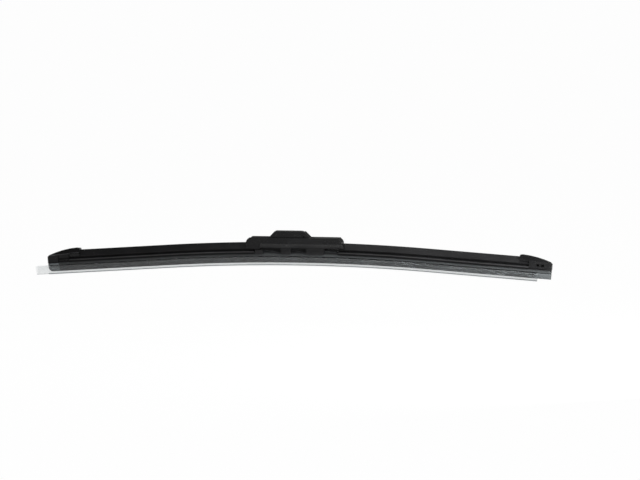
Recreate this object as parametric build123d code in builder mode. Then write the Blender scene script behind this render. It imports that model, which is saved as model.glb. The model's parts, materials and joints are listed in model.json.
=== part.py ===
from build123d import *
import math
import os

os.makedirs("parts", exist_ok=True)

# Frameless wiper blade in millimetres: +X along the blade, -Y to the front, +Z up.
# The origin is on the pivot axis, at the middle of the blade.

# Blade and its bow
blade_length = 508.0  # tip to tip along the bow
bow_radius = 1900.0
bow_half_arc = 130.0  # the bow is straight past this
pivot_height = 12.0  # pivot axis above the middle of the rails
seat_clearance = 0.3  # between pieces that meet end to end or slide past each other

# Spring rails
rail_width = 4.0
rail_thickness = 1.0
rail_spacing = 2.6  # between the rails' inner edges
rail_end_setback = 6.0  # from the blade's tip
rail_clearance = 0.15

# Wiping rubber, heights measured from the middle of the rails
rubber_end_clearance = 0.4  # to the caps' end walls
lip_end_setback = 0.4  # from the blade's tip
bead_width = 6.0
bead_thickness = 1.1
web_width = 2.4
shoulder_width = 7.2
shoulder_depth = 3.2
hinge_width = 1.6
hinge_depth = 0.8
lip_root_width = 6.2
lip_root_depth = 1.2
lip_taper_depth = 4.4
lip_edge_width = 0.9
lip_end_radius = 4.0  # at the left end
rubber_chamfer = 0.3

# Clear guard over the rubber's lip
guard_left_overhang = 12.8  # slid out past the left cap
guard_right_setback = 13.8
guard_wall = 0.5
guard_width = 8.0
guard_waist_depth = 3.0  # straight part of its side walls
guard_depth = 9.0
guard_fold_width = 2.6
guard_clearance = 0.15

# Spoilers, a hollow fin on a flange that clips round the rails
spoiler_height = 10.2
spoiler_ridge_width = 1.6
spoiler_belly_height = 4.4
spoiler_belly_depth = 5.6
spoiler_undercut_depth = 4.7
spoiler_undercut_height = 1.6
spoiler_back_depth = 2.3
spoiler_rounding = 0.5
flange_half_width = 6.3
flange_top = 0.9
flange_lip = 0.45
fin_wall = 1.3
channel_roof = 2.9  # floor of the fin's hollow
spoiler_tuck = 8.8  # length under an end cap's hood
spoiler_start = 42.0  # inside the connector cover

# End caps
cap_length = 32.2
cap_half_width = 7.2
cap_tip_half_width = 5.8
cap_peak_height = 12.3
cap_peak_setback = 2.4
cap_lead_height = 11.7
cap_back_height = 9.75
cap_back_setback = 20.1
cap_brow_height = 6.5
cap_brow_inset = 2.2
cap_nose_height = 4.6
cap_crease_height = 8.2
cap_tip_crease_height = 6.2
cap_ridge_half_width = 2.2
cap_corner_radius = 3.0
cap_end_wall = 2.0
cap_lip = 0.45
cap_wall_setback = 9.6  # the side walls start this far behind the hood's step
cap_wall_height = 7.2
cap_foot_length = 12.0  # of the left cap's deeper end
cap_foot_depth = 0.6
cap_groove_width = 0.5
cap_groove_depth = 0.4
cap_rounding = 0.6
window_length = 3.0
window_height = 2.4
window_lift = 3.3
window_setbacks = (18.4, 23.1)

# Connector base
base_half_width = 6.4
base_floor_lift = 2.3  # underside above the middle of the rails
base_floor = 1.3
pin_wall_length = 22.0
pin_wall = 1.4
claw_thickness = 1.4
claw_lip = 0.9
claw_grip = 1.0
claw_spans = ((-41.0, -33.0), (-15.0, -5.0), (10.0, 28.0))
drain_position = -3.0
drain_width = 3.0
hook_window_length = 24.0

# Pivot pin
pin_radius = 2.0
pin_seat_clearance = 0.02
pin_running_clearance = 0.05
pin_end_clearance = 0.1

# Connector cover
cover_left = -50.2
cover_right = 46.0
cover_half_width = 10.0
cover_end_half_width = 8.3
cover_wall = 1.5
cover_top = 3.0
cover_bottom = -7.2
cover_left_drop = 1.0
cover_corner_radius = 6.0
cover_chamfer = 0.6
ledge_proud = 0.8
ledge_rim = 0.9
ledge_slope = 3.2
ledge_start = -36.0
ledge_run = 1.9  # past the cover's right end
tab_spans = ((-14.5, -4.3), (10.8, 29.0))
tab_depth = 2.6
arm_channel_floor = 1.4
cover_roof = 1.4
cover_opening_margin = 1.8

# Hook adaptor
hook_slot_width = 9.8
hook_slot_height = 4.4
cheek_wall = 1.7
cheek_radius = 6.0
adaptor_left = -27.2
adaptor_right = 14.6
adaptor_top = 3.0
adaptor_underside = 0.2
nose_radius = 3.0
nose_length = 14.0
bend_clearance = 1.0

# Adaptor lid and its hinge
lid_top = 9.2
lid_roof = 1.6
lid_slope_length = 5.8
lid_wall = 1.7
lid_rounding = 0.5
lid_fall = 0.6  # of the lid's top down to its hinge
lid_fall_length = 3.4
barrel_radius = 2.0
lid_hinge_x = 7.2
lid_knuckle_width = 8.0
lid_pin_radius = 0.9

# Derived places
rail_level = -pivot_height
rail_outer = rail_spacing / 2 + rail_width
groove_half = rail_thickness / 2 + rail_clearance
bead_top = groove_half + bead_thickness
shoulder_bottom = -groove_half - shoulder_depth
hinge_bottom = shoulder_bottom - hinge_depth
lip_root_bottom = hinge_bottom - lip_root_depth
lip_bottom = lip_root_bottom - lip_taper_depth
neck_slot = shoulder_width / 2 + seat_clearance
channel_half_width = rail_outer + rail_clearance
blade_tip = blade_length / 2
cap_inner_arc = blade_tip - cap_length
adaptor_half_width = hook_slot_width / 2 + cheek_wall
pin_wall_inner = adaptor_half_width + seat_clearance
pin_wall_outer = pin_wall_inner + pin_wall
barrel_top = lid_top - lid_fall
lid_hinge_z = barrel_top - barrel_radius


def bow_angle(arc):
    """Slope of the bow in radians at a length along it, the same all along a straight end."""
    return max(-bow_half_arc, min(arc, bow_half_arc)) / bow_radius


def bow_point(arc):
    """Point on the rails' mid-line at a length along the bow."""
    angle = bow_angle(arc)
    straight = arc - angle * bow_radius
    return Vector(
        bow_radius * math.sin(angle) + straight * math.cos(angle),
        0,
        rail_level - bow_radius * (1 - math.cos(angle)) - straight * math.sin(angle),
    )


def bow_tangent(arc):
    """Direction of the bow towards +X at a length along it."""
    angle = bow_angle(arc)
    return Vector(math.cos(angle), 0, -math.sin(angle))


def section_plane(arc):
    """Plane across the blade: local X is +Y of the blade, local Y points up."""
    return Plane(bow_point(arc), x_dir=(0, 1, 0), z_dir=bow_tangent(arc))


def side_plane(arc):
    """Plane along the blade seen from the front: local X follows the bow, local Y points up."""
    return Plane(bow_point(arc), x_dir=bow_tangent(arc), z_dir=(0, -1, 0))


def bow_path(start, end):
    """The bow between two lengths along it: an arc, with a line at each straight end that it reaches."""
    changes = [arc for arc in (-bow_half_arc, bow_half_arc) if start < arc < end]
    stops = [start, *changes, end]
    with BuildLine() as path:
        for near, far in zip(stops, stops[1:]):
            middle = (near + far) / 2
            if abs(middle) < bow_half_arc:
                ThreePointArc(bow_point(near), bow_point(middle), bow_point(far))
            else:
                Line(bow_point(near), bow_point(far))
    return path.wire()


# Sections that several pieces share, drawn about the middle of the rails
with BuildSketch() as rail_channel:
    Rectangle(2 * channel_half_width, 2 * groove_half)
    Rectangle(bead_width + 2 * seat_clearance, bead_top + seat_clearance, align=(Align.CENTER, Align.MIN))
    Rectangle(2 * neck_slot, 2 * shoulder_depth, align=(Align.CENTER, Align.MAX))

flange_bottom = -groove_half - flange_lip
ridge_front = (-spoiler_ridge_width / 2, spoiler_height)
ridge_back = (spoiler_ridge_width / 2, spoiler_height)
fin_belly = (-spoiler_belly_depth, spoiler_belly_height)
fin_waist = (spoiler_back_depth, spoiler_belly_height)
fin_front = [
    ridge_front,
    fin_belly,
    (-spoiler_undercut_depth, spoiler_undercut_height),
    (-flange_half_width, flange_top),
    (-flange_half_width, flange_bottom),
    (flange_half_width, flange_bottom),
    (flange_half_width, flange_top),
]
with BuildSketch() as spoiler_outline:
    with BuildLine():
        Polyline(*fin_front)
        ThreePointArc(fin_front[-1], fin_waist, ridge_back)
        Line(ridge_back, ridge_front)
    make_face()
    ridge_corners = spoiler_outline.vertices().group_by(Axis.Y)[-1]
    belly_corner = spoiler_outline.vertices().sort_by_distance(fin_belly)[0]
    fillet([*ridge_corners, belly_corner], radius=spoiler_rounding)

with BuildSketch() as spoiler_socket:
    with BuildLine():
        Polyline(*fin_front, fin_waist, ridge_back, close=True)
    make_face()
    offset(amount=seat_clearance, kind=Kind.INTERSECTION)

# Wiping rubber: its head between the caps' end walls, its lip out to the tips
rubber_end = blade_tip - cap_end_wall - rubber_end_clearance
lip_end = blade_tip - lip_end_setback
cap_bottom = -groove_half - cap_lip
lip_end_top = cap_bottom - cap_foot_depth - seat_clearance
with BuildPart() as wiper_rubber:
    with BuildSketch(section_plane(-lip_end)) as rubber_section:
        with BuildLine():
            Polyline(
                (0, bead_top),
                (bead_width / 2, bead_top),
                (bead_width / 2, groove_half),
                (web_width / 2, groove_half),
                (web_width / 2, -groove_half),
                (shoulder_width / 2, -groove_half),
                (shoulder_width / 2, shoulder_bottom),
                (hinge_width / 2, shoulder_bottom),
                (hinge_width / 2, hinge_bottom),
                (lip_root_width / 2, hinge_bottom),
                (lip_root_width / 2, lip_root_bottom),
                (lip_edge_width / 2, lip_bottom),
                (0, lip_bottom),
            )
            mirror(about=Plane.YZ)
        make_face()
        outer_corners = [v for v in rubber_section.vertices() if abs(v.X) > bead_width / 2]
        chamfer(outer_corners, length=rubber_chamfer)
    sweep(path=bow_path(-lip_end, lip_end))
    for end in (-1, 1):
        with BuildSketch(section_plane(end * rubber_end)):
            with Locations((0, lip_end_top)):
                Rectangle(2 * shoulder_width, 2 * shoulder_depth, align=(Align.CENTER, Align.MIN))
        extrude(amount=end * cap_end_wall * 2, mode=Mode.SUBTRACT)
    with BuildSketch(side_plane(-lip_end)):
        with Locations((0, lip_bottom)):
            Rectangle(lip_end_radius, lip_end_radius, align=(Align.MIN, Align.MIN))
        with Locations((lip_end_radius, lip_bottom + lip_end_radius)):
            Circle(lip_end_radius, mode=Mode.SUBTRACT)
    extrude(amount=lip_root_width, both=True, mode=Mode.SUBTRACT)
wiper_rubber.part.label = "wiper_rubber"
export_step(wiper_rubber.part, "parts/wiper_rubber.step")

# Front spring rail, in the rubber's front groove
rail_end = blade_tip - rail_end_setback
with BuildPart() as rail_front:
    with BuildSketch(section_plane(-rail_end)):
        with Locations((-rail_spacing / 2, 0)):
            Rectangle(rail_width, rail_thickness, align=(Align.MAX, Align.CENTER))
    sweep(path=bow_path(-rail_end, rail_end))
rail_front.part.label = "rail_front"
export_step(rail_front.part, "parts/rail_front.step")

# Rear spring rail
with BuildPart() as rail_rear:
    mirror(rail_front.part, about=Plane.XZ)
rail_rear.part.label = "rail_rear"
export_step(rail_rear.part, "parts/rail_rear.step")

# Clear guard, hooked into the gap between the rubber's shoulder and its lip
guard_start = -blade_tip - guard_left_overhang
guard_end = blade_tip - guard_right_setback
with BuildPart() as blade_guard:
    hook_top = shoulder_bottom - guard_clearance
    hook_reach = hinge_width / 2 + guard_clearance
    waist = hook_top - guard_waist_depth
    fold = hook_top - guard_depth
    with BuildSketch(section_plane(guard_start)):
        with BuildLine():
            Polyline(
                (0, fold),
                (guard_fold_width / 2, fold),
                (guard_width / 2, waist),
                (guard_width / 2, hook_top),
                (hook_reach, hook_top),
                (hook_reach, hook_top - guard_wall),
                (guard_width / 2 - guard_wall, hook_top - guard_wall),
                (guard_width / 2 - guard_wall, waist),
                (guard_fold_width / 2 - guard_wall, fold + guard_wall),
                (0, fold + guard_wall),
            )
            mirror(about=Plane.YZ)
        make_face()
    sweep(path=bow_path(guard_start, guard_end))
blade_guard.part.label = "blade_guard"
export_step(blade_guard.part, "parts/blade_guard.step")

# Right spoiler, from inside the connector cover into the right end cap
spoiler_end = cap_inner_arc + spoiler_tuck
with BuildPart() as spoiler_right:
    with BuildSketch(section_plane(spoiler_start)):
        add(spoiler_outline.sketch)
        add(rail_channel.sketch, mode=Mode.SUBTRACT)
        with BuildLine():
            Polyline(
                (-spoiler_belly_depth + 2 * fin_wall, channel_roof),
                (-spoiler_belly_depth + fin_wall, spoiler_belly_height),
                (-fin_wall / 2, spoiler_height - 2 * fin_wall),
                (spoiler_back_depth - fin_wall, channel_roof + fin_wall),
                (spoiler_back_depth - fin_wall, channel_roof),
                close=True,
            )
        make_face(mode=Mode.SUBTRACT)
    sweep(path=bow_path(spoiler_start, spoiler_end))
spoiler_right.part.label = "spoiler_right"
export_step(spoiler_right.part, "parts/spoiler_right.step")

# Left spoiler
with BuildPart() as spoiler_left:
    mirror(spoiler_right.part, about=Plane.YZ)
spoiler_left.part.label = "spoiler_left"
export_step(spoiler_left.part, "parts/spoiler_left.step")

# End caps, drawn at the right end: a tapered hood with two creased shoulders
cap_side = side_plane(cap_inner_arc + cap_length / 2)
cap_floor = Plane(cap_side.origin, x_dir=cap_side.x_dir, z_dir=cap_side.y_dir)
cap_start = -cap_length / 2
cap_end = cap_length / 2
cap_groove = cap_end - cap_foot_length


def cap_point(setback, across, height):
    """Point of an end cap from its inner edge, the blade's middle and the rails."""
    return cap_side.from_local_coords(Vector(cap_start + setback, height, -across))


def crease_plane(side):
    """Plane of the cap's sloping top facet on the front (-1) or the rear (1)."""
    crease = cap_point(0, side * cap_half_width, cap_crease_height)
    ridge = cap_point(0, side * cap_ridge_half_width, cap_peak_height)
    tip = cap_point(cap_length, side * cap_tip_half_width, cap_tip_crease_height)
    outward = (tip - crease).cross(ridge - crease) * -side
    return Plane(crease, x_dir=tip - crease, z_dir=outward)


with BuildSketch() as cap_plan:
    with BuildLine():
        Polyline(
            (cap_start, -cap_half_width),
            (cap_end, -cap_tip_half_width),
            (cap_end, cap_tip_half_width),
            (cap_start, cap_half_width),
            close=True,
        )
    make_face()
    fillet(cap_plan.vertices().group_by(Axis.X)[-1], radius=cap_corner_radius)

with BuildPart() as cap_hood:
    with BuildSketch(cap_side):
        with BuildLine():
            Polyline(
                (cap_end - cap_brow_inset, cap_brow_height),
                (cap_end, cap_nose_height),
                (cap_end, cap_bottom),
                (cap_start, cap_bottom),
                (cap_start, cap_lead_height),
                (cap_start + cap_peak_setback, cap_peak_height),
            )
            ThreePointArc(
                (cap_start + cap_peak_setback, cap_peak_height),
                (cap_start + cap_back_setback, cap_back_height),
                (cap_end - cap_brow_inset, cap_brow_height),
            )
        make_face()
    extrude(amount=cap_half_width, both=True)
    with BuildSketch(cap_floor):
        add(cap_plan.sketch)
    extrude(amount=2 * cap_peak_height, both=True, mode=Mode.INTERSECT)
    split(bisect_by=crease_plane(-1), keep=Keep.BOTTOM)
    split(bisect_by=crease_plane(1), keep=Keep.BOTTOM)
    for side in (-1, 1):
        crease_middle = cap_point(
            cap_length / 2,
            side * (cap_half_width + cap_tip_half_width) / 2,
            (cap_crease_height + cap_tip_crease_height) / 2,
        )
        fillet(cap_hood.edges().sort_by_distance(crease_middle)[0], radius=cap_rounding)

# Room in a cap for the rails, the rubber and the spoiler's end, with the side walls cut back below the hood
with BuildPart() as cap_hollow:
    with BuildSketch(section_plane(cap_inner_arc - seat_clearance)):
        add(rail_channel.sketch)
    extrude(amount=cap_length + seat_clearance - cap_end_wall)
    with BuildSketch(section_plane(cap_inner_arc - seat_clearance)):
        add(spoiler_socket.sketch)
    extrude(amount=spoiler_tuck + 2 * seat_clearance)
    with BuildSketch(cap_side):
        with Locations((cap_start, cap_wall_height)):
            Rectangle(cap_wall_setback, 2 * cap_wall_height, align=(Align.MIN, Align.MAX))
    extrude(amount=cap_half_width, both=True)

# Snap windows in one wall of a cap
with BuildSketch(cap_side) as cap_windows:
    for setback in window_setbacks:
        with Locations((cap_start + setback, window_lift)):
            Rectangle(window_length, window_height)

# Right end cap, with the windows in front
with BuildPart() as end_cap_right:
    add(cap_hood.part)
    add(cap_hollow.part, mode=Mode.SUBTRACT)
    extrude(cap_windows.sketch, amount=cap_half_width, mode=Mode.SUBTRACT)
end_cap_right.part.label = "end_cap_right"
export_step(end_cap_right.part, "parts/end_cap_right.step")

# Left end cap, with a deeper grooved end and the windows at the rear
groove_half_width = cap_tip_half_width + (cap_half_width - cap_tip_half_width) * cap_foot_length / cap_length
with BuildPart() as end_cap_left:
    add(cap_hood.part)
    with BuildSketch(cap_floor.offset(cap_bottom)):
        add(cap_plan.sketch)
        with Locations((cap_groove, 0)):
            Rectangle(cap_length, 2 * cap_half_width, align=(Align.MAX, Align.CENTER), mode=Mode.SUBTRACT)
    extrude(amount=-cap_foot_depth)
    add(cap_hollow.part, mode=Mode.SUBTRACT)
    extrude(cap_windows.sketch, amount=-cap_half_width, mode=Mode.SUBTRACT)
    for side in (-1, 1):
        with BuildSketch(cap_side.offset(side * (groove_half_width - cap_groove_depth))):
            with Locations((cap_groove, 0)):
                Rectangle(cap_groove_width, 2 * cap_tip_crease_height)
        extrude(amount=side * cap_half_width, mode=Mode.SUBTRACT)
    mirror(about=Plane.YZ, mode=Mode.REPLACE)
end_cap_left.part.label = "end_cap_left"
export_step(end_cap_left.part, "parts/end_cap_left.step")

# Connector base: a floor with claws round the rails and two walls for the pivot pin
base_half_length = spoiler_start - seat_clearance
base_floor_bottom = rail_level + base_floor_lift
claw_outer = channel_half_width + claw_thickness
with BuildSketch() as claw_section:
    Rectangle(
        2 * claw_outer,
        groove_half + claw_lip,
        align=(Align.CENTER, Align.MAX),
    )
    Rectangle(
        2 * claw_outer,
        base_floor_lift + base_floor / 2,
        align=(Align.CENTER, Align.MIN),
    )
    Rectangle(2 * channel_half_width, 2 * groove_half, mode=Mode.SUBTRACT)
    Rectangle(2 * (rail_outer - claw_grip), 2 * claw_outer, mode=Mode.SUBTRACT)

with BuildPart() as connector_base:
    with BuildSketch(Plane.XY.offset(base_floor_bottom)):
        Rectangle(2 * base_half_length, 2 * base_half_width)
        Rectangle(pin_wall_length, 2 * pin_wall_outer)
        Rectangle(hook_window_length, 2 * (rail_outer - claw_grip), mode=Mode.SUBTRACT)
        with Locations((drain_position, 0)):
            Rectangle(drain_width, 2 * base_half_width, mode=Mode.SUBTRACT)
    extrude(amount=base_floor)
    with BuildSketch(Plane.XZ.offset(pin_wall_inner)):
        with BuildLine():
            Polyline(
                (-pin_radius - pin_wall, 0),
                (-pin_wall_length / 2, base_floor_bottom + base_floor),
                (-pin_wall_length / 2, base_floor_bottom),
                (pin_wall_length / 2, base_floor_bottom),
                (pin_wall_length / 2, base_floor_bottom + base_floor),
                (pin_radius + pin_wall, 0),
                close=True,
            )
        make_face()
        Circle(pin_radius + pin_wall)
        Circle(pin_radius + pin_seat_clearance, mode=Mode.SUBTRACT)
    extrude(amount=pin_wall)
    mirror(about=Plane.XZ)
    for claw_start, claw_end in claw_spans:
        with BuildSketch(section_plane(claw_start)):
            add(claw_section.sketch)
        sweep(path=bow_path(claw_start, claw_end))
connector_base.part.label = "connector_base"
export_step(connector_base.part, "parts/connector_base.step")

# Pivot pin across the connector base
with BuildPart() as pivot_pin:
    with BuildSketch(Plane.XZ):
        Circle(pin_radius)
    extrude(amount=pin_wall_outer, both=True)
pivot_pin.part.label = "pivot_pin"
export_step(pivot_pin.part, "parts/pivot_pin.step")

# Connector cover: a boat-shaped skirt with a flared ledge, open above for the adaptor
with BuildSketch() as cover_plan:
    with BuildLine():
        for side in (-1, 1):
            ThreePointArc(
                (cover_left, side * cover_end_half_width),
                (0, side * cover_half_width),
                (cover_right, side * cover_end_half_width),
            )
        for end in (cover_left, cover_right):
            Line((end, -cover_end_half_width), (end, cover_end_half_width))
    make_face()

with BuildSketch() as ledge_plan:
    add(cover_plan.sketch)
    with Locations((cover_right, 0)):
        Rectangle(ledge_run, 2 * cover_end_half_width, align=(Align.MIN, Align.CENTER))
    offset(amount=ledge_proud)
    with Locations((ledge_start, 0)):
        Rectangle(
            ledge_start - cover_left + 2 * ledge_proud,
            2 * (cover_half_width + ledge_proud),
            align=(Align.MAX, Align.CENTER),
            mode=Mode.SUBTRACT,
        )

cover_height = cover_top - cover_bottom
tab_bottom = cover_bottom - tab_depth
opening_left = adaptor_left - cover_opening_margin
opening_right = adaptor_right + cover_opening_margin
socket_spans = (
    (cover_left - seat_clearance, -spoiler_start),
    (spoiler_start, cover_right + ledge_run + ledge_proud + seat_clearance),
)
with BuildPart() as connector_cover:
    with BuildSketch(Plane.XY.offset(cover_bottom - cover_left_drop)):
        add(cover_plan.sketch)
    extrude(amount=cover_height + cover_left_drop - cover_chamfer)
    with BuildSketch(Plane.XY.offset(cover_top - cover_chamfer)):
        add(cover_plan.sketch)
    extrude(amount=cover_chamfer, taper=45)
    with BuildSketch(Plane.XZ) as cover_side:
        with BuildLine():
            Polyline(
                (cover_left, cover_top),
                (cover_left, cover_bottom - cover_left_drop),
                (ledge_start, cover_bottom - cover_left_drop),
                (ledge_start + cover_left_drop, cover_bottom),
                (cover_right, cover_bottom),
                (cover_right, cover_top),
                close=True,
            )
        make_face()
        fillet(cover_side.vertices().group_by(Axis.Y)[-1], radius=cover_corner_radius)
    extrude(amount=2 * cover_half_width, both=True, mode=Mode.INTERSECT)
    with BuildSketch(Plane.XY.offset(cover_bottom)):
        add(ledge_plan.sketch)
    extrude(amount=ledge_rim)
    with BuildSketch(Plane.XY.offset(cover_bottom + ledge_rim)):
        add(ledge_plan.sketch)
    extrude(amount=ledge_slope, taper=math.degrees(math.atan(ledge_proud / ledge_slope)))
    with BuildSketch(Plane.XY.offset(tab_bottom)):
        for tab_start, tab_end in tab_spans:
            with Locations((tab_start, 0)):
                Rectangle(tab_end - tab_start, 4 * cover_half_width, align=(Align.MIN, Align.CENTER))
        add(ledge_plan.sketch, mode=Mode.INTERSECT)
    extrude(amount=tab_depth)
    with BuildSketch(Plane.XY.offset(tab_bottom)):
        add(cover_plan.sketch)
        offset(amount=-cover_wall)
    extrude(amount=arm_channel_floor - cover_roof - tab_bottom, mode=Mode.SUBTRACT)
    with BuildSketch(Plane.XY.offset(cover_bottom)):
        with Locations((opening_right + cover_wall, 0)):
            Rectangle(
                cover_right - cover_corner_radius - opening_right - cover_wall,
                2 * (cover_end_half_width - cover_wall),
                align=(Align.MIN, Align.CENTER),
            )
    extrude(amount=cover_height - cover_roof, mode=Mode.SUBTRACT)
    with BuildSketch(Plane.XY.offset(arm_channel_floor)):
        with Locations((opening_left, 0)):
            Rectangle(opening_left - cover_left, 2 * pin_wall_inner, align=(Align.MAX, Align.CENTER))
    extrude(amount=cover_top, mode=Mode.SUBTRACT)
    with BuildSketch(Plane.XY.offset(cover_bottom)):
        with Locations((opening_left, 0)):
            Rectangle(opening_right - opening_left, 2 * pin_wall_inner, align=(Align.MIN, Align.CENTER))
        Rectangle(pin_wall_length + 2 * seat_clearance, 2 * (pin_wall_outer + pin_end_clearance))
    extrude(amount=2 * cover_height, mode=Mode.SUBTRACT)
    for socket_start, socket_end in socket_spans:
        with BuildSketch(section_plane(socket_start)):
            add(spoiler_socket.sketch)
        sweep(path=bow_path(socket_start, socket_end), mode=Mode.SUBTRACT)
connector_cover.part.label = "connector_cover"
export_step(connector_cover.part, "parts/connector_cover.step")

# Hook adaptor: two cheeks, a round nose on the pivot pin and the fixed half of the lid's hinge
block_left = nose_radius + hook_slot_height + bend_clearance
slope_reach = lid_hinge_x + lid_hinge_z + barrel_radius * math.sqrt(2)  # x + z along the end's slope
with BuildPart() as hook_adaptor:
    with BuildSketch(Plane.XZ.offset(hook_slot_width / 2)):
        Circle(cheek_radius)
        with Locations((adaptor_left, adaptor_underside)):
            Rectangle(
                adaptor_right - adaptor_left,
                adaptor_top - adaptor_underside,
                align=(Align.MIN, Align.MIN),
            )
        make_hull()
        with Locations((0, adaptor_top)):
            Rectangle(
                2 * (adaptor_right - adaptor_left),
                cheek_radius,
                align=(Align.CENTER, Align.MIN),
                mode=Mode.SUBTRACT,
            )
    extrude(amount=cheek_wall)
    mirror(about=Plane.XZ)
    with BuildSketch(Plane.XZ):
        with BuildLine():
            Polyline(
                (block_left, -nose_radius),
                (adaptor_right, adaptor_underside),
                (adaptor_right, slope_reach - adaptor_right),
                (slope_reach - lid_hinge_z, lid_hinge_z),
                (block_left, lid_hinge_z),
                close=True,
            )
        make_face()
    extrude(amount=adaptor_half_width, both=True)
    with BuildSketch(Plane.XZ):
        with Locations((lid_hinge_x, lid_hinge_z)):
            Circle(barrel_radius)
        with BuildLine():
            Polyline(
                (lid_hinge_x, lid_hinge_z),
                (lid_hinge_x + barrel_radius / math.sqrt(2), lid_hinge_z + barrel_radius / math.sqrt(2)),
                (slope_reach - lid_hinge_z, lid_hinge_z),
                close=True,
            )
        make_face()
    extrude(amount=adaptor_half_width, both=True)
    with BuildSketch(Plane.XZ):
        with Locations((lid_hinge_x, lid_hinge_z)):
            Circle(barrel_radius + seat_clearance)
    extrude(amount=lid_knuckle_width / 2 + seat_clearance, both=True, mode=Mode.SUBTRACT)
    with BuildSketch(Plane.XZ):
        Circle(nose_radius)
        Rectangle(nose_length, 2 * nose_radius, align=(Align.MAX, Align.CENTER))
    extrude(amount=adaptor_half_width, both=True)
    with BuildSketch(Plane.XZ):
        Circle(pin_radius + pin_running_clearance)
        with Locations((lid_hinge_x, lid_hinge_z)):
            Circle(lid_pin_radius + pin_seat_clearance)
    extrude(amount=adaptor_half_width, both=True, mode=Mode.SUBTRACT)
hook_adaptor.part.label = "hook_adaptor"
export_step(hook_adaptor.part, "parts/hook_adaptor.step")

# Lid over the hook, hinged at the adaptor's sloping end
lid_bottom = adaptor_top + seat_clearance
lid_length = lid_hinge_x - adaptor_left
with BuildPart() as adaptor_lid:
    with BuildSketch(Plane.XZ):
        with BuildLine():
            Polyline(
                (adaptor_left, lid_bottom),
                (adaptor_left + lid_slope_length, lid_top),
                (lid_hinge_x - lid_fall_length, lid_top),
                (lid_hinge_x, barrel_top),
                (lid_hinge_x, lid_bottom),
                close=True,
            )
        make_face()
    extrude(amount=adaptor_half_width, both=True)
    top_edges = adaptor_lid.edges().filter_by_position(Axis.Z, barrel_top, lid_top)
    fillet(top_edges.filter_by(Axis.Y, reverse=True), radius=lid_rounding)
    with BuildSketch(Plane.XY.offset(lid_bottom)):
        with Locations((adaptor_left, 0)):
            Rectangle(
                lid_length,
                2 * (adaptor_half_width - lid_wall),
                align=(Align.MIN, Align.CENTER),
            )
    extrude(amount=lid_top - lid_roof - lid_bottom, mode=Mode.SUBTRACT)
    with BuildSketch(Plane.XZ):
        with Locations((lid_hinge_x, lid_hinge_z)):
            Circle(barrel_radius + seat_clearance)
            Rectangle(
                barrel_radius + seat_clearance,
                2 * barrel_radius,
                align=(Align.MIN, Align.MAX),
            )
    extrude(amount=adaptor_half_width, both=True, mode=Mode.SUBTRACT)
    with BuildSketch(Plane.XZ):
        with Locations((lid_hinge_x, lid_hinge_z)):
            Circle(barrel_radius)
        with Locations((lid_hinge_x, barrel_top)):
            Rectangle(2 * barrel_radius, lid_roof, align=(Align.MAX, Align.MAX))
        with Locations((lid_hinge_x, lid_hinge_z)):
            Circle(lid_pin_radius + pin_running_clearance, mode=Mode.SUBTRACT)
    extrude(amount=lid_knuckle_width / 2, both=True)
adaptor_lid.part.label = "adaptor_lid"
export_step(adaptor_lid.part, "parts/adaptor_lid.step")

# Hinge pin of the lid
with BuildPart() as lid_pin:
    with BuildSketch(Plane.XZ):
        with Locations((lid_hinge_x, lid_hinge_z)):
            Circle(lid_pin_radius)
    extrude(amount=adaptor_half_width, both=True)
lid_pin.part.label = "lid_pin"
export_step(lid_pin.part, "parts/lid_pin.step")
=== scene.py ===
import json
import math

import bpy
from mathutils import Matrix, Vector


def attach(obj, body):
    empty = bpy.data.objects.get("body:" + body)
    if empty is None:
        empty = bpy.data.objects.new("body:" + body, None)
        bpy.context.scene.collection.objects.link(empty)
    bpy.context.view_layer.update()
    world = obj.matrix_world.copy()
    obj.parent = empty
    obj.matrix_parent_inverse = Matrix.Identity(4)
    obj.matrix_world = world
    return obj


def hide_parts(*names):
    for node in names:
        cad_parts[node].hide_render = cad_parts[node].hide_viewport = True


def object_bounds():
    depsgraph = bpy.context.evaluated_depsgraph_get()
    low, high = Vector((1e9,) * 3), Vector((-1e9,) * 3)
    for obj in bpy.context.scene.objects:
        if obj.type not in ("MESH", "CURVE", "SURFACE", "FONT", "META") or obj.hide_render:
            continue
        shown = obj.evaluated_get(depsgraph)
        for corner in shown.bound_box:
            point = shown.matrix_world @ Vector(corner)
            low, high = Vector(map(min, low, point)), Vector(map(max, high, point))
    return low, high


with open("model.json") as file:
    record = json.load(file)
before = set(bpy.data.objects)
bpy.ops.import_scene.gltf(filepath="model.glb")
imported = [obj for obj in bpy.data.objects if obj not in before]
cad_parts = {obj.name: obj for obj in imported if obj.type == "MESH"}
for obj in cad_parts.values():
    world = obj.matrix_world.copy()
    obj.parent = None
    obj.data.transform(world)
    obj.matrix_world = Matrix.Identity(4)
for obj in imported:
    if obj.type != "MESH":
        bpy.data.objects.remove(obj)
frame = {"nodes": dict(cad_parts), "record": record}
cad_low, cad_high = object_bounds()

# Frameless wiper blade in metres: +X along the blade, -Y to the front, +Z up.
# The origin is on the pivot axis, at the middle of the blade.
# An arc is a length along the bow from the middle of the blade, negative to the left.
# A lift is a height above the middle of the rails, square to the bow.

# Viewpoint
view_azimuth = math.radians(9.51)
view_elevation = math.radians(5.0)
view_distance = 3.079
lens_length = 174.6
sensor_width = 36.0
aim_across = 0.02285  # the frame's middle lies this far to the right of the pivot
aim_up = 0.0003

# Stage
floor_drop = 0.055  # room under the blade for its tilt
floor_size = 120.0
fill_strength = 0.16  # of the even light from all round

# The bow of the blade: an arc with straight ends
bow_radius = 1.9
bow_half_arc = 0.13
rail_level = -0.012
bow_steps = 48

# Modelling
merge_distance = 0.000002
level_tolerance = 0.00001
rim_tolerance = 0.00005
margin = 0.0001  # room beside a named place when faces are chosen
flat_angle = math.radians(2.0)  # facets that meet at less than this are one flat face
edge_angle = math.radians(25.0)  # edges sharper than this are rounded
smooth_angle = math.radians(30.0)
corner_segments = 2

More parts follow.
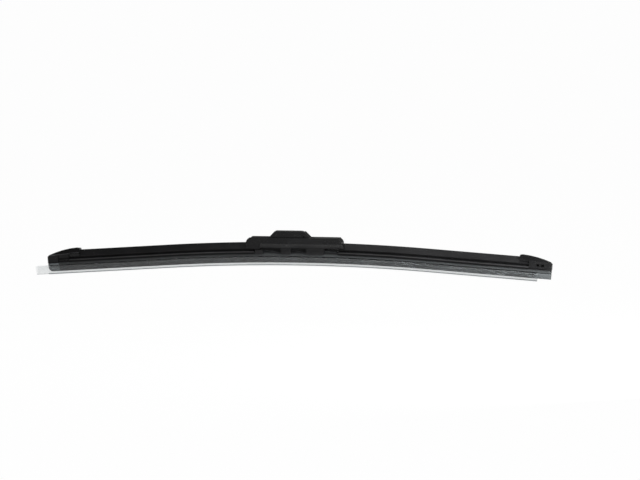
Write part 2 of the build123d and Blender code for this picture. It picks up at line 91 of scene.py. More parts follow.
# Wiping rubber
fade_half_length = 0.2  # painted shade darkens the rubber to the left over this length each side of the middle
head_foot = -0.0041  # lift of the shoulder's lower edge
pale_end = -0.2427  # arcs of the two ends of the dusted lip
bare_start = 0.2404
last_cut = 0.25  # the right end face lies past this arc

# End caps
straight_arc = 0.24  # any point of the straight ends
cap_sole = -0.0009
cap_wall_side = 0.0056  # the side walls stand this far from the middle or more
foot_edge = 0.0004  # lift of the proud edge along the foot
foot_top = 0.0013  # lift at which the wall starts to slope out to it
foot_side = 0.0058
foot_proud = 0.00022
left_foot_reach = 0.2416
right_foot_reach = 0.2499
hood_start = -0.2225  # the hood is drawn out right of this arc
hood_growth = 0.0016
crease_start = -0.2218
crease_lift = 0.0074
crease_slope = 2.0 / 32.2  # rise for each length to the right
crease_inset = 0.0002
crease_side = 0.003
recess_top = 0.0031
recess_depth = 0.0009
recess_floor_side = 0.0045
groove_arc = -0.242
groove_reach = 0.0003  # from its middle to past its walls
groove_top = 0.0063
groove_widening = 1.6
groove_side = 0.005
sole_side = 0.004

# Connector
lid_foot_drop = 0.00022
cover_ledge = -0.0031  # height of the ledge's crisp upper edge
cover_chamfer = 0.0024  # height of the foot of the rim's chamfer
cover_rim = 0.0029
cover_rim_side = 0.0075
cover_corner = 0.0385  # the right corner lies past this length
cover_corner_foot = -0.003
adaptor_slope = 0.006  # the right slope lies past this length
claw_top = -0.0098  # height of the lower edge of the base's floor
seal_reach = 0.041
web_spans = {"left": (-0.034, -0.012), "right": (0.012, 0.022)}
web_sides = {"front": -0.00725, "rear": 0.00725}
web_width = 0.0021
web_height = 0.0017
web_level = -0.00775  # height of their middle

# Spoilers
spoiler_inner = 0.042  # arcs of their ends
spoiler_outer = 0.2312
flange_foot = 0.00035  # the flange is in shade below this lift
flange_low = 0.0004  # lifts of the flange's front edge
flange_high = 0.0015
undercut_low = 0.0021
undercut_high = 0.0042
undercut_side = -0.004
tongue_outer = 0.2313  # arcs of the tongues under the hoods
tongue_inner = tongue_outer * 0.95
fillet_inner = -0.2205

# Clear guard
guard_left = -0.2668  # arcs of its ends, and of the start of its trimmed end
guard_trim = -0.2545
guard_right = 0.2402


def make_material(name, colour, roughness, specular=0.5):
    """A new shader with its plain sockets set."""
    material = bpy.data.materials.new(name)
    material.use_nodes = True
    shader = material.node_tree.nodes["Principled BSDF"]
    shader.inputs["Base Color"].default_value = (*colour, 1.0)
    shader.inputs["Roughness"].default_value = roughness
    shader.inputs["Specular IOR Level"].default_value = specular
    return material, shader


def add_noise(material, scale, stretch=(1.0, 1.0, 1.0), detail=3.0):
    """Noise on the object's own coordinates, stretched along the axes that have a small factor."""
    nodes, links = material.node_tree.nodes, material.node_tree.links
    place = nodes.new("ShaderNodeTexCoord")
    mapping = nodes.new("ShaderNodeMapping")
    mapping.inputs["Scale"].default_value = stretch
    noise = nodes.new("ShaderNodeTexNoise")
    noise.inputs["Scale"].default_value = scale
    noise.inputs["Detail"].default_value = detail
    links.new(place.outputs["Object"], mapping.inputs["Vector"])
    links.new(mapping.outputs["Vector"], noise.inputs["Vector"])
    return noise.outputs["Fac"]


def vary_colour(material, shader, pattern, dark, light, low=0.35, high=0.65):
    """Colour that drifts between two tones with a pattern."""
    ramp = material.node_tree.nodes.new("ShaderNodeValToRGB")
    ramp.color_ramp.elements[0].position = low
    ramp.color_ramp.elements[0].color = (*dark, 1.0)
    ramp.color_ramp.elements[1].position = high
    ramp.color_ramp.elements[1].color = (*light, 1.0)
    material.node_tree.links.new(pattern, ramp.inputs["Fac"])
    material.node_tree.links.new(ramp.outputs["Color"], shader.inputs["Base Color"])


def vary_roughness(material, shader, pattern, smooth, rough, low=0.3, high=0.7):
    """Roughness that drifts between two values with a pattern."""
    spread = material.node_tree.nodes.new("ShaderNodeMapRange")
    spread.inputs["From Min"].default_value = low
    spread.inputs["From Max"].default_value = high
    spread.inputs["To Min"].default_value = smooth
    spread.inputs["To Max"].default_value = rough
    material.node_tree.links.new(pattern, spread.inputs["Value"])
    material.node_tree.links.new(spread.outputs["Result"], shader.inputs["Roughness"])


def painted_fade_left(material, shader, share):
    """Painted shade: colour that fades to a share of itself towards the left end of the blade."""
    nodes, links = material.node_tree.nodes, material.node_tree.links
    place = nodes.new("ShaderNodeTexCoord")
    axes = nodes.new("ShaderNodeSeparateXYZ")
    fade = nodes.new("ShaderNodeMapRange")
    fade.inputs["From Min"].default_value = -fade_half_length
    fade.inputs["From Max"].default_value = fade_half_length
    fade.inputs["To Min"].default_value = share
    fade.inputs["To Max"].default_value = 1.0
    product = nodes.new("ShaderNodeVectorMath")
    product.operation = "SCALE"
    links.new(place.outputs["Object"], axes.inputs["Vector"])
    links.new(axes.outputs["X"], fade.inputs["Value"])
    links.new(shader.inputs["Base Color"].links[0].from_socket, product.inputs["Vector"])
    links.new(fade.outputs["Result"], product.inputs["Scale"])
    links.new(product.outputs["Vector"], shader.inputs["Base Color"])


def add_bump(material, shader, pattern, height):
    """Relief of a height in metres from a pattern."""
    bump = material.node_tree.nodes.new("ShaderNodeBump")
    bump.inputs["Distance"].default_value = height
    bump.inputs["Strength"].default_value = 1.0
    material.node_tree.links.new(pattern, bump.inputs["Height"])
    material.node_tree.links.new(bump.outputs["Normal"], shader.inputs["Normal"])


def moulded_black(name, tone):
    """Satin injection-moulded plastic with a fine spark-eroded grain."""
    colour = Vector((1.0, 1.0, 1.05)) * tone
    material, shader = make_material(name, colour, roughness=0.3, specular=0.17)
    vary_colour(material, shader, add_noise(material, scale=60.0), dark=colour * 0.85, light=colour * 1.2)
    vary_roughness(material, shader, add_noise(material, scale=350.0), smooth=0.26, rough=0.36)
    add_bump(material, shader, add_noise(material, scale=2600.0, detail=2.0), height=0.000004)
    return material


def extruded_black(name, tone, specular):
    """Soft extruded spoiler material with faint draw lines along the blade."""
    colour = Vector((1.0, 1.0, 1.05)) * tone
    material, shader = make_material(name, colour, roughness=0.4, specular=specular)
    lines = add_noise(material, scale=900.0, stretch=(0.012, 1.0, 1.0), detail=1.5)
    vary_colour(material, shader, add_noise(material, scale=45.0), dark=colour * 0.8, light=colour * 1.2)
    vary_roughness(material, shader, lines, smooth=0.3, rough=0.42)
    add_bump(material, shader, lines, height=0.000004)
    return material


def graphite_rubber(name, tone, share):
    """Wiping rubber with a grey graphite dusting drawn out along the blade, and painted shade that darkens it
    to the left.
    """
    colour = Vector((1.0, 1.09, 1.13)) * tone
    material, shader = make_material(name, colour, roughness=0.6, specular=0.35)
    streaks = add_noise(material, scale=500.0, stretch=(0.03, 1.0, 1.0))
    vary_colour(material, shader, streaks, dark=colour * 0.96, light=colour * 1.04)
    # Painted shade, darker towards the left end, away from the light at the right
    painted_fade_left(material, shader, share)
    vary_roughness(material, shader, add_noise(material, scale=300.0), smooth=0.5, rough=0.68)
    add_bump(material, shader, streaks, height=0.000003)
    return material


def coated_steel():
    """Spring strip with a thin dark coat over its rolling marks."""
    dark, middle, light = (0.005, 0.005, 0.0055), (0.006, 0.006, 0.0065), (0.008, 0.008, 0.0085)
    material, shader = make_material("coated_steel", middle, roughness=0.45, specular=0.15)
    marks = add_noise(material, scale=1500.0, stretch=(0.02, 1.0, 1.0))
    vary_colour(material, shader, add_noise(material, scale=80.0), dark, light)
    vary_roughness(material, shader, marks, smooth=0.32, rough=0.48)
    add_bump(material, shader, marks, height=0.00001)
    return material


def turned_steel():
    """Pin steel with fine marks round it."""
    material, shader = make_material("turned_steel", (0.5, 0.5, 0.5), roughness=0.3)
    shader.inputs["Metallic"].default_value = 1.0
    marks = add_noise(material, scale=3000.0, stretch=(0.02, 1.0, 0.02))
    vary_roughness(material, shader, marks, smooth=0.22, rough=0.36)
    add_bump(material, shader, marks, height=0.00001)
    return material


def clear_film():
    """Clear extruded guard with faint draw lines, greyer where it is thick."""
    material, shader = make_material("clear_film", (0.98, 0.985, 0.985), roughness=0.04)
    shader.inputs["Transmission Weight"].default_value = 1.0
    shader.inputs["IOR"].default_value = 1.38
    nodes, links = material.node_tree.nodes, material.node_tree.links
    depth = nodes.new("ShaderNodeVolumeAbsorption")
    depth.inputs["Color"].default_value = (0.10, 0.14, 0.15, 1.0)
    depth.inputs["Density"].default_value = 500.0
    links.new(depth.outputs["Volume"], nodes["Material Output"].inputs["Volume"])
    lines = add_noise(material, scale=1200.0, stretch=(0.01, 1.0, 1.0))
    vary_roughness(material, shader, lines, smooth=0.02, rough=0.06)
    return material


finishes = {
    "black_plastic": moulded_black("moulded_black", tone=0.0035),
    "soft_spoiler": extruded_black("extruded_black", tone=0.005, specular=0.2),
    "wiping_rubber": graphite_rubber("graphite_lip", tone=0.055, share=0.35),
    "spring_steel": coated_steel(),
    "pin_steel": turned_steel(),
    "clear_plastic": clear_film(),
}

# Darker, duller black for painted shade
painted_shade_black = extruded_black("extruded_painted_shade", tone=0.0018, specular=0.09)
# Lighter black for a painted highlight on the front edge of the spoiler's flange
flange_painted_highlight = extruded_black("flange_edge_painted_highlight", tone=0.011, specular=0.2)
# Darker rubber for painted shade on the head and shoulder
head_painted_shade = graphite_rubber("rubber_head_painted_shade", tone=0.02, share=0.85)
# Paler rubber for painted light on the lip's left end under the cap
lip_end_painted_light = graphite_rubber("lip_end_painted_light", tone=0.095, share=1.0)
# Darker rubber for painted shade on the lip past the guard's right end
bare_end_painted_shade = graphite_rubber("bare_end_painted_shade", tone=0.036, share=1.0)
# Lighter black for a painted highlight along the left cap's crease
crease_painted_highlight = moulded_black("crease_painted_highlight", tone=0.03)
claw_black = moulded_black("claw_black", tone=0.0055)

slot_of = {subpart["node"]: subpart["material_slot"] for subpart in frame["record"]["subparts"]}
bodies = frame["record"]["behaviour"]["bodies"]
body_of = {node: body for body, nodes in bodies.items() for node in nodes}

# Finish of the carried-over nodes, by the record's material slots
for name, slot in slot_of.items():
    node = frame["nodes"][name]
    node.data.materials.clear()
    node.data.materials.append(finishes[slot])


def bow_lift(point):
    """Height of a point above the middle of the rails."""
    hub = Vector((0, 0, rail_level - bow_radius))
    end = bow_half_arc / bow_radius
    angle = max(-end, min(math.atan2(point.x, point.z - hub.z), end))
    return (point - hub).dot(Vector((math.sin(angle), 0, math.cos(angle)))) - bow_radius


def bow_place(arc, across, lift):
    """Point at a length along the bow, across the blade and above the middle of the rails."""
    held = max(-bow_half_arc, min(arc, bow_half_arc))
    angle = held / bow_radius
    along = Vector((math.cos(angle), 0, -math.sin(angle)))
    up = Vector((math.sin(angle), 0, math.cos(angle)))
    middle = Vector((bow_radius * math.sin(angle), 0, rail_level - bow_radius * (1 - math.cos(angle))))
    return middle + along * (arc - held) + up * lift + Vector((0, across, 0))


def end_directions(end):
    """Along the blade and up, on the straight left (-1) or right (1) end."""
    angle = end * bow_half_arc / bow_radius
    return Vector((math.cos(angle), 0, -math.sin(angle))), Vector((math.sin(angle), 0, math.cos(angle)))


def bow_arc(point):
    """Length along the bow at which a point of a straight end lies."""
    end = math.copysign(1, point.x)
    along, _ = end_directions(end)
    return end * straight_arc + (point - bow_place(end * straight_arc, 0, 0)).dot(along)


def edit(piece, select="SELECT"):
    """Starts editing one piece, with all of it or none of it selected."""
    bpy.ops.object.select_all(action="DESELECT")
    piece.select_set(True)
    bpy.context.view_layer.objects.active = piece
    bpy.ops.object.mode_set(mode="EDIT")
    bpy.ops.mesh.select_all(action=select)


def select_faces(piece, chosen):
    """Selects the faces for which a test on their middle and normal holds, and starts editing."""
    edit(piece, "DESELECT")
    bpy.ops.object.mode_set(mode="OBJECT")
    for face in piece.data.polygons:
        face.select = chosen(face.center, face.normal)
    bpy.ops.object.mode_set(mode="EDIT")


def shade_faces(piece, finish, chosen):
    """Gives a second finish to the faces for which a test on their middle and normal holds."""
    piece.data.materials.append(finish)
    for face in piece.data.polygons:
        if chosen(face.center, face.normal):
            face.material_index = len(piece.data.materials) - 1


def cut(piece, place, normal):
    """Cuts new edges where a plane meets a piece."""
    edit(piece)
    bpy.ops.mesh.bisect(plane_co=place, plane_no=normal)
    bpy.ops.object.mode_set(mode="OBJECT")


def stand_in(piece, node, crisp=None):
    """Puts a finished piece in a node's place, with its body and finish. Edges at one height stay crisp."""
    if not piece.data.materials:
        piece.data.materials.append(finishes[slot_of[node]])
    bpy.ops.object.select_all(action="DESELECT")
    piece.select_set(True)
    bpy.context.view_layer.objects.active = piece
    bpy.ops.object.shade_smooth_by_angle(angle=smooth_angle)
    if crisp is not None:
        for edge in piece.data.edges:
            if all(abs(piece.data.vertices[v].co.z - crisp) < rim_tolerance for v in edge.vertices):
                edge.use_edge_sharp = True
    weighted = piece.modifiers.new("flats", "WEIGHTED_NORMAL")
    weighted.keep_sharp = True
    bpy.ops.object.modifier_apply(modifier="flats")
    piece.select_set(False)
    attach(piece, body_of[node])
    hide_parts(node)


def add_to_blade(piece, slot, finish=None):
    """Fixes a new piece to the blade, in its slot's finish or a given one."""
    piece.data.materials.append(finish or finishes[slot])
    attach(piece, "blade")


def soften(node, width, segments=2, shape=None, crisp=None):
    """A node's piece, shaped further where a shape is given, its sharp edges rounded by a width if not 0."""
    piece = bpy.data.objects.new(node + "_moulding", frame["nodes"][node].data.copy())
    bpy.context.scene.collection.objects.link(piece)
    piece.data.materials.clear()
    piece.data.materials.append(finishes[slot_of[node]])
    edit(piece)
    bpy.ops.mesh.remove_doubles(threshold=merge_distance)
    bpy.ops.mesh.normals_make_consistent(inside=False)
    if width:
        bpy.ops.mesh.dissolve_limited(angle_limit=flat_angle)
    bpy.ops.object.mode_set(mode="OBJECT")
    if shape:
        shape(piece)
    if width:
        bevel = piece.modifiers.new("edges", "BEVEL")
        bevel.width = width
        bevel.segments = segments
        bevel.limit_method = "ANGLE"
        bevel.angle_limit = edge_angle
        bpy.context.view_layer.objects.active = piece
        bpy.ops.object.modifier_apply(modifier="edges")
    stand_in(piece, node, crisp)


def extrude_end(piece, from_arc, to_arc):
    """Draws the flat end of a swept piece out along the bow's straight part."""
    here, there = bow_place(from_arc, 0, 0), bow_place(to_arc, 0, 0)
    step = there - here
    along = step.normalized()
    edit(piece, "DESELECT")
    bpy.ops.object.mode_set(mode="OBJECT")
    for face in piece.data.polygons:
        corners = [piece.data.vertices[v].co for v in face.vertices]
        face.select = all(abs((corner - here).dot(along)) < merge_distance for corner in corners)
    bpy.ops.object.mode_set(mode="EDIT")
    bpy.ops.mesh.extrude_region_move(TRANSFORM_OT_translate={"value": step})
    bpy.ops.object.mode_set(mode="OBJECT")


def sweep(name, section, start, end, rounding):
    """A section in millimetres about the rails' middle, its corners rounded, drawn along the bow."""
    near, far = max(start, -bow_half_arc), min(end, bow_half_arc)
    straight = near >= far  # the whole piece is on a straight end
    if straight:
        near, far = start, end
    bpy.ops.object.select_all(action="DESELECT")
    bpy.ops.mesh.primitive_circle_add(vertices=len(section), fill_type="NGON")
    piece = bpy.context.object
    piece.name = name
    for vertex, (across, lift) in zip(piece.data.vertices, section):
        vertex.co = bow_place(near, across / 1000, lift / 1000)
    edit(piece)
    bpy.ops.mesh.bevel(offset=rounding, segments=corner_segments, affect="VERTICES", clamp_overlap=True)
    bpy.ops.mesh.select_all(action="SELECT")
    if straight:
        step = bow_place(far, 0, 0) - bow_place(near, 0, 0)
        bpy.ops.mesh.extrude_region_move(TRANSFORM_OT_translate={"value": step})
    else:
        bpy.ops.mesh.spin(
            steps=max(2, round(bow_steps * (far - near) / (2 * bow_half_arc))),
            angle=(near - far) / bow_radius,  # the operator turns the other way round
            center=(0, 0, rail_level - bow_radius),
            axis=(0, 1, 0),
        )
    bpy.ops.object.mode_set(mode="OBJECT")
    if start < near:
        extrude_end(piece, near, start)
    if end > far:
        extrude_end(piece, far, end)
    edit(piece)
    bpy.ops.mesh.remove_doubles(threshold=merge_distance)
    bpy.ops.mesh.normals_make_consistent(inside=False)
    bpy.ops.object.mode_set(mode="OBJECT")
    return piece


def foot_line(piece, end, reach):
    """A thin proud edge along the foot of a cap's side walls, up to its closed end, with painted shade below
    it.
    """
    along, up = end_directions(end)
    for lift in (foot_top, foot_edge):
        cut(piece, bow_place(end * straight_arc, 0, lift), up)
    cut(piece, bow_place(end * reach, 0, 0), along)
    for vertex in piece.data.vertices:
        on_edge = abs(bow_lift(vertex.co) - foot_edge) < level_tolerance and abs(vertex.co.y) > foot_side
        if on_edge and abs(bow_arc(vertex.co)) < reach + level_tolerance:
            vertex.co.y += math.copysign(foot_proud, vertex.co.y)
    # Painted shade under the proud edge
    shade_faces(piece, painted_shade_black, lambda middle, normal: (
        abs(normal.y) > 0.5 and abs(middle.y) > cap_wall_side
        and bow_lift(middle) < foot_edge and abs(bow_arc(middle)) < reach
    ))


def longer_hood(piece):
    """Draws the left hood out over its spoiler."""
    along, _ = end_directions(-1)
    for vertex in piece.data.vertices:
        if bow_arc(vertex.co) > hood_start:
            vertex.co += along * hood_growth


def crease_facet(piece):
    """A facet above a crease along the left cap's sides, with a painted highlight on it."""
    along, up = end_directions(-1)
    tilt = (up - along * crease_slope).normalized()
    cut(piece, bow_place(crease_start, 0, crease_lift), tilt)
    foot = bow_place(crease_start, 0, crease_lift + margin)
    for vertex in piece.data.vertices:
        if (vertex.co - foot).dot(tilt) > 0 and abs(vertex.co.y) > crease_side:
            vertex.co.y -= math.copysign(crease_inset, vertex.co.y)
    # Painted highlight on the facet above the crease
    shade_faces(piece, crease_painted_highlight, lambda middle, normal: (
        abs(normal.y) > 0.8 and normal.dot(up) > 0.1 and (middle - foot).dot(tilt) > 0
    ))


def shaded_recess(piece):
    """A hollow in the left cap's sides, over the foot, with painted shade in it."""
    _, up = end_directions(-1)
    cut(piece, bow_place(-straight_arc, 0, recess_top), up)
    for side in (-1, 1):
        select_faces(piece, lambda middle, normal: (
            normal.y * side > 0.9 and abs(middle.y) > cap_wall_side
            and foot_top < bow_lift(middle) < recess_top and bow_arc(middle) > -left_foot_reach
        ))
        bpy.ops.mesh.extrude_region_move(TRANSFORM_OT_translate={"value": (0, -recess_depth * side, 0)})
        bpy.ops.object.mode_set(mode="OBJECT")
    # Painted shade in the hollow
    shade_faces(piece, painted_shade_black, lambda middle, normal: (
        abs(normal.y) > 0.9 and abs(middle.y) > recess_floor_side
        and foot_top - margin < bow_lift(middle) < recess_top
        and bow_arc(middle) > -left_foot_reach - 2 * margin
    ))


def wider_groove(piece):
    """Widens the groove before the left cap's closed end and paints shade in it."""
    along, _ = end_directions(-1)
    for vertex in piece.data.vertices:
        offset = bow_arc(vertex.co) - groove_arc
        if abs(offset) < groove_reach and bow_lift(vertex.co) < groove_top:
            vertex.co += along * offset * groove_widening
    # Painted shade in the groove
    shade_faces(piece, painted_shade_black, lambda middle, normal: (
        abs(normal.y) > 0.5 and abs(middle.y) > groove_side
        and abs(bow_arc(middle) - groove_arc) < groove_reach + margin
    ))


def dark_sole(piece):
    """Paints shade on the foot of the left cap's closed end."""
    _, up = end_directions(-1)
    cut(piece, bow_place(-straight_arc, 0, cap_sole), up)
    # Painted shade on the sole
    shade_faces(piece, painted_shade_black, lambda middle, normal: (
        bow_lift(middle) < cap_sole and bow_arc(middle) < groove_arc and abs(middle.y) > sole_side
    ))


def left_cap_shape(piece):
    """The left cap's longer hood, crease, foot, recess, groove and sole."""
    longer_hood(piece)
    crease_facet(piece)
    foot_line(piece, -1, left_foot_reach)
    shaded_recess(piece)
    wider_groove(piece)
    dark_sole(piece)


def right_cap_shape(piece):
    """The right cap's foot."""
    foot_line(piece, 1, right_foot_reach)


def lid_shape(piece):
    """Draws the lid's foot down to close the gap over the cover."""
    bottom = min(vertex.co.z for vertex in piece.data.vertices)
    for vertex in piece.data.vertices:
        if vertex.co.z < bottom + merge_distance:
            vertex.co.z -= lid_foot_drop


def cover_shape(piece):
    """Draws the rim's chamfer up, so that the sides run plain to the top, and paints shade on the right
    corner.
    """
    for vertex in piece.data.vertices:
        if abs(vertex.co.z - cover_chamfer) < rim_tolerance and abs(vertex.co.y) > cover_rim_side:
            vertex.co.z = cover_rim
    # Painted shade on the right corner
    shade_faces(piece, painted_shade_black, lambda middle, normal: (
        normal.x > 0.2 and middle.x > cover_corner and middle.z > cover_corner_foot
    ))


def adaptor_shape(piece):
    """Paints shade on the adaptor's right slope."""
    # Painted shade on the right slope
    shade_faces(piece, painted_shade_black, lambda middle, normal: (
        normal.x > 0.2 and normal.z > 0.2 and middle.x > adaptor_slope
    ))


def base_shape(piece):
    """Paints shade on the floor's edge under the cover's skirt, over greyer claws."""
    cut(piece, (0, 0, claw_top), (0, 0, 1))
    # Painted shade on the floor's edge under the skirt
    shade_faces(piece, painted_shade_black, lambda middle, normal: middle.z > claw_top)
    shade_faces(piece, claw_black, lambda middle, normal: middle.z < claw_top and abs(normal.y) > 0.5)


def rubber_shape(piece):
    """Painted shade on the head and shoulder above the dusted lip, painted light on the lip's left end, and
    painted shade on the right end past the guard and on its cut face.
    """
    cut(piece, bow_place(pale_end, 0, 0), end_directions(-1)[0])
    cut(piece, bow_place(bare_start, 0, 0), end_directions(1)[0])
    # Painted shade on the head and shoulder
    shade_faces(piece, head_painted_shade, lambda middle, normal: bow_lift(middle) > head_foot)
    # Painted shade on the lip past the guard
    shade_faces(piece, bare_end_painted_shade, lambda middle, normal: (
        bow_lift(middle) < head_foot and bow_arc(middle) > bare_start
    ))
    # Painted shade on the right end's cut face
    shade_faces(piece, painted_shade_black, lambda middle, normal: normal.x > 0.7 and bow_arc(middle) > last_cut)
    # Painted light on the lip's left end
    shade_faces(piece, lip_end_painted_light, lambda middle, normal: (
        bow_lift(middle) < cap_sole and bow_arc(middle) < pale_end
    ))


# Moulded pieces with their edges rounded, and the rubber
soften("end_cap_left", width=0.0003, segments=3, shape=left_cap_shape)
soften("end_cap_right", width=0.0003, segments=3, shape=right_cap_shape)
soften("connector_cover", width=0.0003, segments=3, shape=cover_shape, crisp=cover_ledge)
soften("connector_base", width=0.0003, shape=base_shape)
soften("hook_adaptor", width=0.0003, shape=adaptor_shape)
soften("adaptor_lid", width=0.0004, segments=3, shape=lid_shape)
soften("lid_pin", width=0.0002)
soften("pivot_pin", width=0.0003)
soften("wiper_rubber", width=0, shape=rubber_shape)

# Spoilers: a fin with a belly crease, on a flange that clips round the rails
spoiler_section = [
    (-0.8, 10.2), (-3.3, 7.3), (-5.6, 4.4), (-4.9, 3.0), (-4.3, 2.2), (-4.5, 1.9),
    (-6.0, 1.45), (-6.3, 0.4), (-5.9, 0.3), (-5.9, -1.5), (-3.9, -1.5), (-3.9, -0.65),
    (-5.45, -0.65), (-5.45, 0.65), (-3.3, 0.65), (-3.3, 2.05), (3.3, 2.05), (3.3, 0.65),
    (5.45, 0.65), (5.45, -0.65), (3.9, -0.65), (3.9, -1.1), (6.3, -1.1), (6.3, 0.9),
    (4.4, 1.8), (3.1, 2.9), (2.3, 4.4), (1.6, 6.6), (1.1, 8.6), (0.8, 10.2),
]
# A tongue closes each hood behind the spoiler's end
tongue_section = [(-4.0, 1.2), (-4.2, 4.0), (-0.5, 9.2), (0.5, 9.2), (1.7, 4.6), (3.0, 2.1), (3.0, 1.2)]


def in_shade(middle, normal):
    """True on the spoiler's foot and in the undercut of its front, where shade is painted."""
    lift = bow_lift(middle)
    return lift < flange_foot or (undercut_low < lift < undercut_high and middle.y < undercut_side)


def on_flange_front(middle, normal):
    """True on the front edge of the spoiler's flange, where a highlight is painted."""
    return flange_low < bow_lift(middle) < flange_high and normal.y < -0.5


for side, sign in (("left", -1), ("right", 1)):
    start, end = sorted((sign * spoiler_inner, sign * spoiler_outer))
    spoiler = sweep("spoiler_" + side + "_extrusion", spoiler_section, start, end, rounding=0.00012)
    spoiler.data.materials.append(finishes["soft_spoiler"])
    # Painted shade on the spoiler's foot and in the undercut of its front
    shade_faces(spoiler, painted_shade_black, in_shade)
    # Painted highlight on the flange's front edge
    shade_faces(spoiler, flange_painted_highlight, on_flange_front)
    stand_in(spoiler, "spoiler_" + side)
    start, end = sorted((sign * tongue_inner, sign * tongue_outer))
    add_to_blade(sweep("cap_tongue_" + side, tongue_section, start, end, rounding=0.0002), "soft_spoiler")

# Fillet under the left hood
fillet_section = [(-4.0, 4.0), (-5.3, 4.3), (-6.8, 6.7), (-4.0, 6.8)]
fillet = sweep("hood_fillet_left", fillet_section, -tongue_outer, fillet_inner, rounding=0.0001)
add_to_blade(fillet, "black_plastic")

# Clear guard: a channel with a solid fold at the bottom, hooked under the rubber's shoulder
guard_section = [
    (-1.3, -13.0), (1.3, -13.0), (4.0, -7.0), (4.0, -4.0), (0.95, -4.0), (0.95, -4.3),
    (3.7, -4.3), (3.7, -7.0), (1.3, -12.0), (-1.3, -12.0), (-3.7, -7.0), (-3.7, -4.3),
    (-0.95, -4.3), (-0.95, -4.0), (-4.0, -4.0), (-4.0, -7.0),
]
guard = sweep("blade_guard_channel", guard_section, guard_trim, guard_right, rounding=0.0001)
stand_in(guard, "blade_guard")

# Its end past the left cap, with the hooks and the fold trimmed off
trimmed_section = [
    (-1.3, -12.6), (1.3, -12.6), (4.0, -7.0), (4.0, -4.2), (3.7, -4.2), (3.7, -7.0),
    (1.2, -12.3), (-1.2, -12.3), (-3.7, -7.0), (-3.7, -4.2), (-4.0, -4.2), (-4.0, -7.0),
]
guard_end = sweep("blade_guard_end", trimmed_section, guard_left, guard_trim, rounding=0.0001)
add_to_blade(guard_end, "clear_plastic")

# Soft strip between the rubber's head and the connector base
seal_section = [(-2.2, 1.78), (-2.2, 2.28), (2.2, 2.28), (2.2, 1.78)]
add_to_blade(sweep("base_seal", seal_section, -seal_reach, seal_reach, rounding=0.0001), "soft_spoiler")

# Webs that close the cover's hollow beside the base, under the opening's ends, in the painted shade finish
for end, (near, far) in web_spans.items():
    for side, middle in web_sides.items():
        bpy.ops.object.select_all(action="DESELECT")
        bpy.ops.mesh.primitive_cube_add(size=1)
        web = bpy.context.object
        web.name = "cover_web_" + end + "_" + side
        edit(web)
        bpy.ops.transform.resize(value=(far - near, web_width, web_height))
        bpy.ops.transform.translate(value=((near + far) / 2, middle, web_level))
        bpy.ops.mesh.bevel(offset=0.0001, segments=corner_segments)
        bpy.ops.object.mode_set(mode="OBJECT")
        add_to_blade(web, "black_plastic", painted_shade_black)


def rays_to_background(tree, kinds):
    """1 on the rays of some kinds, which see the background as white."""
    rays = tree.nodes.new("ShaderNodeLightPath")
    seen = rays.outputs[kinds[0]]
    for kind in kinds[1:]:
        either = tree.nodes.new("ShaderNodeMath")
        either.operation = "MAXIMUM"
        tree.links.new(seen, either.inputs[0])
        tree.links.new(rays.outputs[kind], either.inputs[1])
        seen = either.outputs["Value"]
    return seen


def make_world():
    """Soft even light, with a white background for the camera and through clear pieces."""
    world = bpy.data.worlds.new("studio")
    bpy.context.scene.world = world
    world.use_nodes = True
    tree = world.node_tree
    light = tree.nodes["Background"]
    light.inputs["Color"].default_value = (1.0, 1.0, 1.0, 1.0)
    light.inputs["Strength"].default_value = fill_strength
    white = tree.nodes.new("ShaderNodeBackground")
    white.inputs["Color"].default_value = (1.0, 1.0, 1.0, 1.0)
    white.inputs["Strength"].default_value = 1.0
    mix = tree.nodes.new("ShaderNodeMixShader")
    tree.links.new(rays_to_background(tree, ["Is Camera Ray", "Is Transmission Ray"]), mix.inputs["Fac"])
    tree.links.new(light.outputs["Background"], mix.inputs[1])
    tree.links.new(white.outputs["Background"], mix.inputs[2])
    tree.links.new(mix.outputs["Shader"], tree.nodes["World Output"].inputs["Surface"])


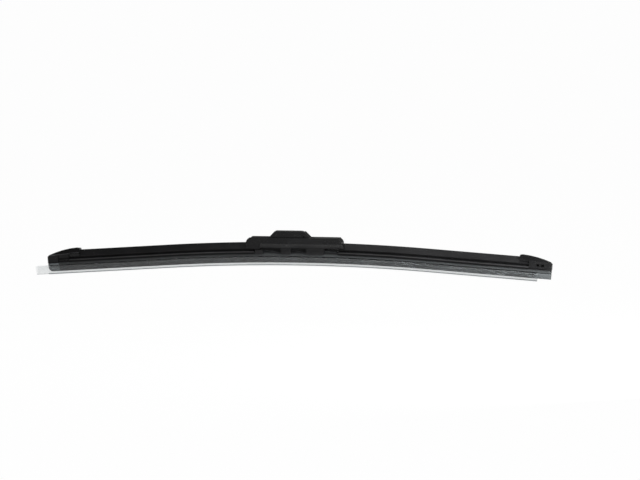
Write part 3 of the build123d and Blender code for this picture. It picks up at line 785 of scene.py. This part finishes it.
def make_floor():
    """Pale floor, low enough for the blade's tilt, that keeps the blade's shadow."""
    bpy.ops.mesh.primitive_plane_add(size=floor_size, location=(0, 0, cad_low.z - floor_drop))
    floor = bpy.context.object
    floor.name = "floor"
    material, matt = make_material("floor_white", (0.95, 0.95, 0.95), roughness=1.0, specular=0.0)
    tree = material.node_tree
    glow = tree.nodes.new("ShaderNodeEmission")
    glow.inputs["Strength"].default_value = 1.0
    share = tree.nodes.new("ShaderNodeMath")
    share.operation = "MULTIPLY"
    share.inputs[1].default_value = 0.98  # the rest shows the shadow
    mix = tree.nodes.new("ShaderNodeMixShader")
    kinds = ["Is Camera Ray", "Is Transmission Ray", "Is Glossy Ray"]
    tree.links.new(rays_to_background(tree, kinds), share.inputs[0])
    tree.links.new(share.outputs["Value"], mix.inputs["Fac"])
    tree.links.new(matt.outputs["BSDF"], mix.inputs[1])
    tree.links.new(glow.outputs["Emission"], mix.inputs[2])
    tree.links.new(mix.outputs["Shader"], tree.nodes["Material Output"].inputs["Surface"])
    floor.data.materials.append(material)


def make_light(name, place, aim, width, height, power, glossy=True):
    """A soft light at a place, turned to a point, that shows in gloss or doesn't."""
    data = bpy.data.lights.new(name, "AREA")
    data.shape = "RECTANGLE"
    data.size = width
    data.size_y = height
    data.energy = power
    light = bpy.data.objects.new(name, data)
    light.location = place
    light.rotation_euler = (Vector(aim) - Vector(place)).to_track_quat("-Z", "Y").to_euler()
    light.visible_glossy = glossy
    bpy.context.scene.collection.objects.link(light)


def make_camera():
    """Long lens from the front, a little from the right and above."""
    back = Vector((
        math.sin(view_azimuth) * math.cos(view_elevation),
        -math.cos(view_azimuth) * math.cos(view_elevation),
        math.sin(view_elevation),
    ))
    right = Vector((math.cos(view_azimuth), math.sin(view_azimuth), 0.0))
    up = back.cross(right)
    aim = right * aim_across + up * aim_up
    data = bpy.data.cameras.new("camera")
    data.sensor_fit = "HORIZONTAL"
    data.sensor_width = sensor_width
    data.lens = lens_length
    camera = bpy.data.objects.new("camera", data)
    turn = Matrix((right, up, back)).transposed().to_4x4()
    camera.matrix_world = Matrix.Translation(aim + back * view_distance) @ turn
    bpy.context.scene.collection.objects.link(camera)
    bpy.context.scene.camera = camera


bpy.ops.object.select_all(action="DESELECT")
make_world()
make_floor()
make_light("overhead", (0.1, -0.2, 0.7), (0.1, 0, 0), width=0.6, height=0.3, power=0.8)
make_light("front", (0.05, -1.5, 0.6), (0.05, 0, -0.01), width=2.4, height=0.4, power=10.5)
make_light("right_front", (0.46, -0.3, 0.03), (0.2, 0, -0.02), width=0.3, height=0.3, power=9.0, glossy=False)
make_light("rear", (0.0, 1.1, 1.2), (0, 0, 0), width=2.4, height=0.5, power=5.0)
make_camera()

bpy.context.scene.view_settings.view_transform = "Standard"
